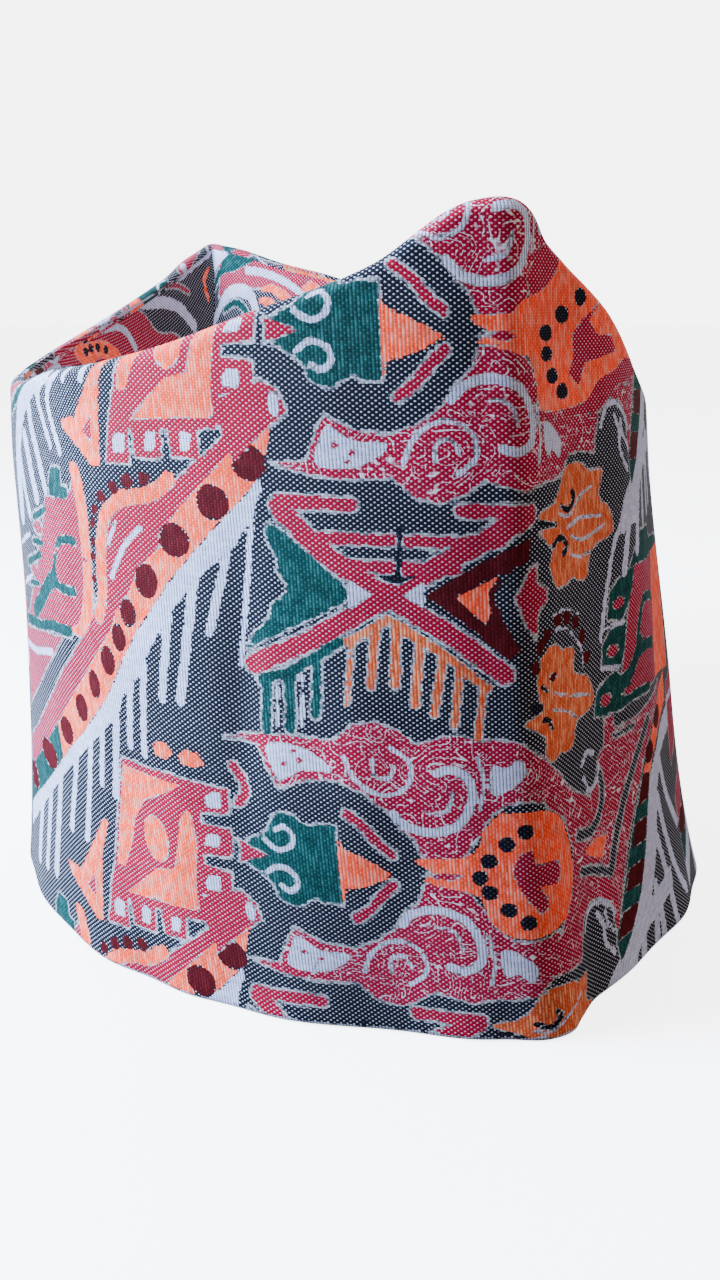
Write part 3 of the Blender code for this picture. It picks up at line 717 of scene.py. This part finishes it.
def wall_rows(place):
    """The wall's table at places round the rim, as arrays by column name."""
    table = np.array(WALL, dtype=float)
    lap = np.zeros(len(WALL_COLUMNS))
    lap[0] = ROUND
    table = np.vstack([table[-2:] - lap, table, table[:3] + lap])
    start = WALL[0][0]
    place = np.mod(place - start, ROUND) + start
    values = smooth_rows(place, table[:, 0], table[:, 1:])
    return dict(zip(WALL_COLUMNS[1:], values.T))


def valley_rows(way):
    """The crown's table at shares of the way from the near crease to the far one."""
    table = np.array(VALLEY, dtype=float)
    return dict(zip(VALLEY_COLUMNS[1:], smooth_rows(way, table[:, 0], table[:, 1:]).T))


def wall_points(place, rise):
    """Outside of the band at shares of its height: a straight wall on a foot that flares out."""
    row = wall_rows(place)
    rim = np.column_stack([row["rim_x"], row["rim_y"]])
    waist = np.column_stack([row["waist_x"], row["waist_y"]])
    top = np.column_stack([row["top_x"], row["top_y"]])
    share = ((rise - WAIST) / (1 - WAIST))[:, None]
    straight = waist + (top - waist) * share
    foot = waist - (top - waist) * WAIST / (1 - WAIST)
    flare = (rim - foot) * (np.clip(1 - rise / WAIST, 0, 1) ** 2)[:, None]
    return np.column_stack([straight + flare, row["height"] * rise])


def outward(place, rise):
    """Level direction that faces out of the wall."""
    ahead = wall_points(place + FACING_REACH, rise) - wall_points(place - FACING_REACH, rise)
    side = np.column_stack([ahead[:, 1], -ahead[:, 0], np.zeros(len(ahead))])
    return side / np.linalg.norm(side, axis=1)[:, None]


def roll_points(place, turn, depth):
    """Points on the roll at the top edge, turned over by an angle, at a depth in the cloth."""
    height = wall_rows(place)["height"]
    rise = np.full(len(place), 1 - TOP_ROLL / MEAN_HEIGHT)
    side = outward(place, rise)
    middle = wall_points(place, rise) - side * TOP_ROLL
    middle[:, 2] = height - TOP_ROLL
    angle = np.radians(turn)
    radius = TOP_ROLL - depth
    points = middle + side * (radius * np.cos(angle))[:, None]
    points[:, 2] += radius * np.sin(angle)
    return points


def crown_points(places, ways, share, depth):
    """Points of the crown at shares of the way from the band's roll down to the valley."""
    row = valley_rows(ways)
    angle = math.radians(ROLL_TURN)
    onward = -math.sin(angle) * outward(places, np.ones(len(places)))
    onward[:, 2] = math.cos(angle)
    edge = roll_points(places, np.full(len(places), ROLL_TURN), depth) + onward * SEAM_GAP
    valley = np.column_stack([row["valley_x"], row["valley_y"], row["valley_z"] - depth])
    points = edge + (valley - edge) * share[:, None]
    fall = np.clip(1 - share, 0, None) ** row["sag"] + np.clip(-share, 0, None)
    points[:, 2] = valley[:, 2] + (edge[:, 2] - valley[:, 2]) * fall
    return points


def make_grid(name, columns, rows):
    """A flat grid whose points are read as shares of its two sides, each from 0 to 1."""
    mesh = bmesh.new()
    bmesh.ops.create_grid(mesh, x_segments=columns, y_segments=rows, size=1.0)
    data = bpy.data.meshes.new(name)
    mesh.to_mesh(data)
    mesh.free()
    flat = np.empty(len(data.vertices) * 3)
    data.vertices.foreach_get("co", flat)
    flat = flat.reshape(-1, 3)
    return data, (flat[:, 0] + 1) / 2, (flat[:, 1] + 1) / 2


def set_points(data, points):
    moved = (points + np.array(SHIFT)) * MM
    data.vertices.foreach_set("co", moved.ravel())
    data.update()


def set_cloth(data, along, up, fields):
    """Give each point its place in the cloth, in millimetres, and its distance inside each yarn."""
    corner = np.empty(len(data.loops), dtype=np.int32)
    data.loops.foreach_get("vertex_index", corner)
    layer = data.uv_layers.new(name="cloth")
    layer.data.foreach_set("uv", np.column_stack([along, up])[corner].ravel())
    for yarn, field in fields.items():
        layer = data.attributes.new(yarn, "FLOAT", "POINT")
        layer.data.foreach_set("value", field)


def add_piece(name, data, material, node):
    data.shade_smooth()
    piece = bpy.data.objects.new(name, data)
    bpy.context.collection.objects.link(piece)
    data.materials.append(material)
    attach(piece, "root")
    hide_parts(node)


def round_off(points, closed):
    """A smooth line through the points, with three more between each pair."""
    points = np.array(points, dtype=float)
    if closed:
        padded = np.vstack([points[-1:], points, points[:2]])
    else:
        padded = np.vstack([points[:1], points, points[-1:]])
    line = []
    for before, start, end, after in zip(padded, padded[1:], padded[2:], padded[3:]):
        for part in np.arange(CURVE_STEPS) / CURVE_STEPS:
            bend = (2 * start + (end - before) * part
                    + (2 * before - 5 * start + 4 * end - after) * part**2
                    + (3 * start - before - 3 * end + after) * part**3)
            line.append(bend / 2)
    if not closed:
        line.append(points[-1])
    return np.array(line)


def distance_to_line(spots, line):
    """Distance from each spot to a run of straight pieces."""
    nearest = np.full(len(spots), np.inf)
    for start, end in zip(line, line[1:]):
        along = end - start
        share = np.clip((spots - start) @ along / max(along @ along, TINY), 0, 1)
        gap = spots - start - share[:, None] * along
        nearest = np.minimum(nearest, np.hypot(gap[:, 0], gap[:, 1]))
    return nearest


def inside_outline(spots, outline):
    """Which spots lie inside a closed outline, by counting the edges that they look across."""
    inside = np.zeros(len(spots), dtype=bool)
    for start, end in zip(outline, np.roll(outline, -1, axis=0)):
        spans = (start[1] > spots[:, 1]) != (end[1] > spots[:, 1])
        if start[1] == end[1]:
            continue
        cross = start[0] + (spots[:, 1] - start[1]) / (end[1] - start[1]) * (end[0] - start[0])
        inside ^= spans & (spots[:, 0] < cross)
    return inside


def depth_in_figure(spots, form, size, points):
    """How far inside a figure each spot is, and below nought outside it."""
    if form == "dot":
        centre, reach = points
        away = (spots - centre) / reach
        return (1 - np.hypot(away[:, 0], away[:, 1])) * reach.min()
    if form in ("line", "curve"):
        return size / 2 - distance_to_line(spots, points)
    closed = np.vstack([points, points[:1]])
    depth = distance_to_line(spots, closed)
    return np.where(inside_outline(spots, points), depth, -depth)


def read_row(form, row):
    """A figure's width and its points. A dot's are its middle and its reach."""
    if form == "dot":
        return 0, np.array(row, dtype=float).reshape(2, 2)
    drawn = form in ("line", "curve")
    points = np.array(row[1:] if drawn else row, dtype=float)
    if form in ("blob", "curve"):
        points = round_off(points, form == "blob")
    return row[0] if drawn else 0, points


def figure_shapes(figures):
    """The charted figures as arrays with their boxes, and the mirrored ones given twice."""
    shapes = []
    for yarn, form, copies, rows in figures:
        for row in rows:
            width, points = read_row(form, row)
            shapes.append((yarn, form, width, points))
            if copies == 2:
                turned = points.copy()
                flipped = slice(0, 1) if form == "dot" else slice(None)
                turned[flipped, 1] = 2 * MIRROR_LINE - turned[flipped, 1]
                shapes.append((yarn, form, width, turned))
    return [shape + figure_box(*shape[1:]) for shape in shapes]


def figure_box(form, size, points):
    if form == "dot":
        return points[0] - points[1], points[0] + points[1]
    return points.min(axis=0) - size / 2, points.max(axis=0) + size / 2


def lay_figures(fields, spots, shapes, moved):
    """Lay one set of figures into the cloth, moved by a step, over what is there."""
    low, high = spots.min(axis=0), spots.max(axis=0)
    for yarn, form, size, points, first, last in shapes:
        first = first + moved - FIELD_REACH
        last = last + moved + FIELD_REACH
        if np.any(last < low) or np.any(first > high):
            continue
        near = np.flatnonzero(np.all((spots > first) & (spots < last), axis=1))
        if len(near) == 0:
            continue
        depth = depth_in_figure(spots[near] - moved, form, size, points)
        depth = np.clip(depth, -FIELD_REACH, FIELD_REACH)
        for other in YARN_LOOKS:
            if other == yarn:
                fields[other][near] = np.maximum(fields[other][near], depth)
            else:
                fields[other][near] = np.minimum(fields[other][near], -depth)


def yarn_fields(along, up, own):
    """Each yarn's depth at each point: the repeated figures, then the piece's own ones."""
    spots = np.column_stack([along, up])
    fields = {yarn: np.full(len(spots), -FIELD_REACH) for yarn in YARN_LOOKS}
    shapes = figure_shapes(FIGURES)
    for across in COPIES_ALONG:
        for above in COPIES_UP:
            moved = np.array(REPEAT_ALONG) * across + np.array(REPEAT_UP) * above
            lay_figures(fields, spots, shapes, moved)
    lay_figures(fields, spots, figure_shapes(own), np.zeros(2))
    return fields


class Wire:
    """A shader node's output that can be added to, multiplied and compared like a number."""

    def __init__(self, look, socket):
        self.look = look
        self.socket = socket

    def worked_with(self, kind, other, first=True):
        pair = (self, other) if first else (other, self)
        return self.look.node("ShaderNodeMath", {"operation": kind}, *pair)

    def __add__(self, other):
        return self.worked_with("ADD", other)

    def __radd__(self, other):
        return self.worked_with("ADD", other, False)

    def __sub__(self, other):
        return self.worked_with("SUBTRACT", other)

    def __rsub__(self, other):
        return self.worked_with("SUBTRACT", other, False)

    def __mul__(self, other):
        return self.worked_with("MULTIPLY", other)

    def __truediv__(self, other):
        return self.worked_with("DIVIDE", other)

    def larger(self, other):
        return self.worked_with("MAXIMUM", other)

    def worked(self, kind):
        return self.look.node("ShaderNodeMath", {"operation": kind}, self)

    def floor(self):
        return self.worked("FLOOR")

    def part(self):
        return self.worked("FRACT")

    def size(self):
        return self.worked("ABSOLUTE")

    def root(self):
        return self.worked("SQRT")

    def between(self, low, high, bottom=0.0, top=1.0):
        """Runs smoothly from bottom to top as this goes from low to high."""
        settings = {"interpolation_type": "SMOOTHSTEP"}
        return self.look.node("ShaderNodeMapRange", settings, self, low, high, bottom, top)


class Look:
    """A material that is put together from nodes."""

    def __init__(self, name):
        self.material = bpy.data.materials.new(name)
        self.material.use_nodes = True
        self.tree = self.material.node_tree
        self.shader = self.tree.nodes["Principled BSDF"]

    def node(self, kind, settings, *values, out=0, **named):
        """Make a node, set it up, fill its inputs in order or by name, and give one output."""
        made = self.tree.nodes.new(kind)
        for key, value in settings.items():
            setattr(made, key, value)
        sockets = [socket for socket in made.inputs if socket.enabled]
        filled = list(zip(sockets, values)) + [(made.inputs[key], value) for key, value in named.items()]
        for socket, value in filled:
            self.fill(socket, value)
        outputs = [socket for socket in made.outputs if socket.enabled]
        return Wire(self, outputs[out])

    def fill(self, socket, value):
        if isinstance(value, Wire):
            self.tree.links.new(value.socket, socket)
        else:
            socket.default_value = value

    def mix(self, share, first, second):
        settings = {"data_type": "RGBA", "clamp_factor": True}
        return self.node("ShaderNodeMix", settings, share, first, second)

    def noise(self, place, scale_and_detail, flat, **named):
        scale, detail = scale_and_detail
        settings = {"noise_dimensions": "2D"} if flat else {}
        return self.node("ShaderNodeTexNoise", settings, Vector=place, Scale=scale, Detail=detail, **named)

    def field(self, name):
        return self.node("ShaderNodeAttribute", {"attribute_name": name}, out=2)

    def finish(self, tint, roughness, relief):
        bump = self.node("ShaderNodeBump", {}, Strength=BUMP_STRENGTH, Distance=BUMP_DEPTH, Height=relief)
        self.fill(self.shader.inputs["Base Color"], tint)
        self.fill(self.shader.inputs["Roughness"], roughness)
        self.fill(self.shader.inputs["Normal"], bump)
        return self.material


def scrolls(look, along, up, streak):
    """Fine broken curls that run through the clouds."""
    place = look.node("ShaderNodeCombineXYZ", {}, along, up, 0.0)
    hills = look.noise(place, SCROLL_NOISE, True, Distortion=SCROLL_BEND)
    line = ((hills * SCROLL_TURNS).part() - 0.5).size().between(*SCROLL_EDGE)
    return line * streak.between(*SCROLL_STREAK)


def inlay_look(look, yarn, weave):
    """One inlay yarn's colour, with the warp's dots and lines over it."""
    base, lit, dot_strength, line_strength = YARN_LOOKS[yarn]
    streak = weave["streak"]
    inlay = look.mix(weave["dots"] * dot_strength * streak.between(*INLAY_STREAK), base, lit)
    if line_strength:
        inlay = look.mix((1.0 - weave["gap"]) * weave["fleck"] * line_strength, inlay, lit)
    if yarn == "pale":
        inlay = look.mix(weave["gap"] * streak.between(*PALE_STREAK), inlay, PALE_GAP)
    if yarn == "cloud":
        inlay = look.mix(scrolls(look, weave["along"], weave["up"], streak), inlay, WHITE)
    if yarn == "teal":
        inlay = look.mix(streak.between(*TEAL_STREAK), inlay, DEEP_TEAL)
    return inlay


def weave_parts(look):
    """The weave's threads and the noises that follow them, from the piece's cloth map."""
    place = look.node("ShaderNodeUVMap", {"uv_map": "cloth"})
    along = look.node("ShaderNodeSeparateXYZ", {}, place)
    up = Wire(look, along.socket.node.outputs[1])
    column = along / WARP_PITCH
    row = up / WEFT_PITCH
    column_part = column.part() - 0.5
    row_part = row.part() - 0.5
    over = ((column.floor() + row.floor()) * 0.5).part() * 2.0
    thread = (column_part * column_part + row_part * row_part).root().between(*THREAD_EDGE)
    cell = look.node("ShaderNodeCombineXYZ", {}, (column * 0.5).floor(), row.floor(), 0.0)
    chance = look.node("ShaderNodeTexWhiteNoise", {"noise_dimensions": "2D"}, cell)
    runs = (along * STREAK_STRETCH[0], row.floor() * STREAK_STRETCH[1], 0.0)
    flecks = (column.floor() * FLECK_STRETCH[0], up * FLECK_STRETCH[1], 0.0)
    fleck = look.noise(look.node("ShaderNodeCombineXYZ", {}, *flecks), FLECK_NOISE, True)
    return {
        "along": along,
        "up": up,
        "thread": thread,
        "dots": over * thread,
        "gap": column_part.size().between(*GAP_EDGE),
        "jog": (chance - 0.5) * JOG_SIZE,
        "streak": look.noise(look.node("ShaderNodeCombineXYZ", {}, *runs), STREAK_NOISE, True),
        "fleck": fleck.between(*FLECK_STEP),
    }


def cloth_look(name, patterned):
    """Plain weave with white warp, and the inlay yarns where their fields say."""
    look = Look(name)
    weave = weave_parts(look)
    dots = weave["dots"]
    body = look.node("ShaderNodeTexCoord", {}, out=3)
    wear = look.noise(body, WEAR_NOISE, False)
    fuzz = look.noise(body, FUZZ_NOISE, False)
    seen = look.mix(dots * DOT_STRENGTH, GROUND if patterned else REVERSE, WHITE)
    if patterned:
        edges = {yarn: look.field(yarn) + weave["jog"] for yarn in YARN_LOOKS}
        rim = edges["crimson"].larger(edges["cloud"]).larger(edges["teal"])
        rim = rim.larger(edges["petal"] - PETAL_INSET)
        halo = rim.between(*HALO_EDGE) * (HALO_FLOOR + dots * (1 - HALO_FLOOR))
        seen = look.mix(halo * weave["streak"].between(*HALO_STREAK), seen, WHITE)
        for yarn in YARN_LOOKS:
            seen = look.mix(edges[yarn].between(*FIGURE_EDGE), seen, inlay_look(look, yarn, weave))
    tone = wear.between(*WEAR_TONE) * fuzz.between(*FUZZ_TONE)
    grey = look.node("ShaderNodeCombineColor", {}, tone, tone, tone)
    toned = look.node("ShaderNodeMix", {"data_type": "RGBA", "blend_type": "MULTIPLY"}, 1.0, seen, grey)
    look.shader.inputs["Specular IOR Level"].default_value = SHINE
    return look.finish(toned, fuzz.between(*FUZZ_ROUGHNESS), weave["thread"])


@functools.lru_cache
def arc_lengths():
    """True distance along the cloth from the near crease, for each column at a few rises."""
    rises = np.linspace(0, 1, ARC_RISES)
    places = np.linspace(-ARC_REACH, ARC_REACH, ARC_STEPS)
    table = []
    for rise in rises:
        points = wall_points(places, np.full(len(places), rise))
        run = np.hypot(*np.diff(points[:, :2], axis=0).T)
        arc = np.concatenate([[0], run.cumsum()])
        table.append(arc - np.interp(0.0, places, arc))
    return places, rises, np.array(table)


def cloth_along(place, rise):
    """Distance along the cloth from the near crease, at places and shares of the height."""
    places, rises, table = arc_lengths()
    step = np.clip((place - places[0]) / (places[1] - places[0]), 0, len(places) - LAST_CELL)
    level = np.clip(rise, 0, 1) * (len(rises) - LAST_CELL)
    column, row = step.astype(int), level.astype(int)
    ahead, above = step - column, level - row
    lower = table[row, column] * (1 - ahead) + table[row, column + 1] * ahead
    upper = table[row + 1, column] * (1 - ahead) + table[row + 1, column + 1] * ahead
    return lower * (1 - above) + upper * above


def band_points(place, row):
    """The band's cloth from the turned hem inside the rim, up the wall and over the top roll.

    row counts cells from the hem's inner edge. Gives the points, how far up the wall's height each
    is, as a share, and its height up the cloth.
    """
    height = wall_rows(place)["height"]
    wall_share = np.clip((row - HEM_CELLS) / WALL_CELLS, 0, 1)
    level = HEM_RADIUS + (height - TOP_ROLL - HEM_RADIUS) * wall_share
    rise = level / height
    points = wall_points(place, rise)
    up = level.copy()
    side = outward(place, rise)
    hem = row < HEM_CELLS
    turn = np.radians(180 * np.clip(1 - (row - 1) / (HEM_CELLS - 1), 0, 1))
    sunk = HEM_RADIUS * (np.cos(turn) - 1)
    drop = HEM_RADIUS * (1 - np.sin(turn))
    inner = row < 1
    points[hem] += side[hem] * sunk[hem][:, None]
    points[hem, 2] = drop[hem]
    points[inner, 2] = HEM_TURN
    up[hem] = HEM_RADIUS * (1 - turn[hem])
    roll = row > HEM_CELLS + WALL_CELLS
    over = (row - HEM_CELLS - WALL_CELLS) / ROLL_CELLS * ROLL_TURN
    points[roll] = roll_points(place[roll], over[roll], 0.0)
    up[roll] = level[roll] + TOP_ROLL * np.radians(over[roll])
    points += side * unevenness(place, level, height)[:, None]
    return points, rise, up


def unevenness(place, level, height):
    """The cloth's soft waves and puckered hem, in millimetres out of the wall."""
    waves = np.prod([np.sin(place / far + level / high + start) for far, high, start in WAVES], axis=0)
    drift, drift_length = PUCKER_DRIFT
    puckers = np.sin(place / PUCKER_LENGTH + drift * np.sin(place / drift_length))
    middle, reach, fade = CALM_CREASE
    calm = np.clip((height - level) / CALM_TOP, 0, 1) * np.clip((reach - abs(place - middle)) / fade, 0, 1)
    total = WAVE_SIZE * waves + PUCKER_SIZE * puckers * np.exp(-level / PUCKER_FADE)
    for middle, centre, round_reach, up_reach, size in FOLDS:
        total += size * np.exp(-((place - middle) / round_reach) ** 2 - ((level - centre) / up_reach) ** 2)
    return total * calm


def make_band(name, first, last, columns, material):
    rows = HEM_CELLS + WALL_CELLS + ROLL_CELLS
    data, across, above = make_grid(name, columns, rows)
    place = first + (last - first) * across
    row = np.round(above * rows, ROW_DIGITS)
    points, rise, up = band_points(place, row)
    along = cloth_along(place, rise)
    set_points(data, points)
    set_cloth(data, along, up, yarn_fields(along, up, BAND_FIGURES))
    add_piece(name, data, material, "band")


def make_crown(name, side, depth, material):
    """One slope of the crown: its top where the depth is nought, else its underside."""
    along_cells, down_cells = CROWN_CELLS
    data, along_share, down_share = make_grid(name, along_cells, down_cells)
    if (side == "left") != (depth > 0):
        along_share = 1 - along_share
    row = valley_rows(along_share)
    share = down_share * (1 + CROWN_TUCK) - CROWN_TUCK
    points = crown_points(row[side], along_share, share, depth)
    set_points(data, points)
    run = points[:, 1]
    slope = np.hypot(points[:, 0] - row["valley_x"], points[:, 2] - row["valley_z"] + depth)
    fields = {} if depth else yarn_fields(run, slope, CROWN_FIGURES[side])
    set_cloth(data, run, slope, fields)
    add_piece(name, data, material, "crown")


def make_inside(material):
    """The cloth's reverse, up the inside of the band and round under its roll."""
    columns, rows = INSIDE_CELLS
    data, across, above = make_grid("band_inside", columns, rows)
    place = WALL[0][0] + ROUND * (1 - across)
    height = wall_rows(place)["height"]
    row = np.round(above * rows, ROW_DIGITS)
    wall_share = np.clip(row / (rows - ROLL_CELLS), 0, 1)
    low = HEM_TURN - INSIDE_TUCK
    level = low + (height - TOP_ROLL - low) * wall_share
    rise = level / height
    side = outward(place, rise)
    points = wall_points(place, rise) + side * (unevenness(place, level, height) - BAND_THICKNESS)[:, None]
    roll = row > rows - ROLL_CELLS
    over = (row[roll] - rows + ROLL_CELLS) / ROLL_CELLS * ROLL_TURN
    points[roll] = roll_points(place[roll], over, BAND_THICKNESS)
    set_points(data, points)
    set_cloth(data, cloth_along(place, rise), level, {})
    add_piece("band_inside", data, material, "band")


def add_stage():
    """A pale floor and a pale backdrop all round, which light nothing themselves."""
    for name, strength in STAGE_LIGHT.items():
        look = Look(name + "_paint")
        look.fill(look.shader.inputs["Base Color"], STAGE_TINT)
        look.fill(look.shader.inputs["Roughness"], STAGE_ROUGHNESS)
        look.fill(look.shader.inputs["Emission Color"], STAGE_TINT)
        look.fill(look.shader.inputs["Emission Strength"], strength)
        mesh = bmesh.new()
        if name == "floor":
            bmesh.ops.create_grid(mesh, x_segments=1, y_segments=1, size=STAGE_REACH)
        else:
            bmesh.ops.create_icosphere(mesh, subdivisions=BACKDROP_SPLITS, radius=STAGE_REACH)
            bmesh.ops.reverse_faces(mesh, faces=mesh.faces)
        data = bpy.data.meshes.new(name)
        mesh.to_mesh(data)
        mesh.free()
        thing = bpy.data.objects.new(name, data)
        bpy.context.collection.objects.link(thing)
        data.materials.append(look.material)
        thing.visible_diffuse = False
        thing.visible_glossy = False
        thing.visible_shadow = name == "floor"


def add_area(name, place, target, size, power, tint):
    light = bpy.data.lights.new(name, "AREA")
    light.shape = "DISK"
    light.size = size
    light.energy = power
    light.color = tint
    lamp = bpy.data.objects.new(name, light)
    bpy.context.collection.objects.link(lamp)
    lamp.location = place
    direction = np.array(target) - np.array(place)
    lamp.rotation_mode = "QUATERNION"
    lamp.rotation_quaternion = Vector(direction).to_track_quat("-Z", "Y")


def add_light():
    """A soft light from behind the hat and from above, a cool window on the left and a warm room."""
    world = bpy.data.worlds.new("studio")
    world.use_nodes = True
    tree = world.node_tree
    background = tree.nodes["Background"]
    background.inputs["Color"].default_value = WORLD_TINT
    direction = tree.nodes.new("ShaderNodeTexCoord")
    total = background.inputs["Strength"]
    for way, edge, full, strength in LOBES:
        facing = tree.nodes.new("ShaderNodeVectorMath")
        facing.operation = "DOT_PRODUCT"
        facing.inputs[1].default_value = way
        spread = tree.nodes.new("ShaderNodeMapRange")
        spread.interpolation_type = "SMOOTHSTEP"
        spread.inputs["From Min"].default_value = edge
        spread.inputs["From Max"].default_value = full
        spread.inputs["To Max"].default_value = strength
        adding = tree.nodes.new("ShaderNodeMath")
        adding.inputs[1].default_value = AMBIENT
        tree.links.new(direction.outputs["Generated"], facing.inputs[0])
        tree.links.new(facing.outputs["Value"], spread.inputs["Value"])
        tree.links.new(spread.outputs["Result"], adding.inputs[0])
        if total.is_linked:
            tree.links.new(total.links[0].from_socket, adding.inputs[1])
        tree.links.new(adding.outputs["Value"], total)
    bpy.context.scene.world = world
    for lamp in LAMPS:
        add_area(*lamp)


def add_camera():
    lens = bpy.data.cameras.new("photo_view")
    lens.sensor_width = CAMERA_SENSOR
    lens.lens = CAMERA_LENS
    lens.clip_start = CAMERA_NEAR
    camera = bpy.data.objects.new("photo_view", lens)
    bpy.context.collection.objects.link(camera)
    camera.location = CAMERA_PLACE
    camera.rotation_euler = (math.radians(90 - CAMERA_TILT), 0.0, math.radians(CAMERA_TURN))
    bpy.context.scene.camera = camera


def main():
    add_camera()
    add_light()
    add_stage()
    cloth = cloth_look("dhaka_cloth", True)
    reverse = cloth_look("cloth_reverse", False)
    for name, (first, last, columns) in BAND_PIECES.items():
        make_band(name, first, last, columns, cloth)
    for side in ("left", "right"):
        make_crown("crown_" + side, side, 0.0, cloth)
        make_crown("crown_under_" + side, side, CROWN_THICKNESS, reverse)
    make_inside(reverse)


main()
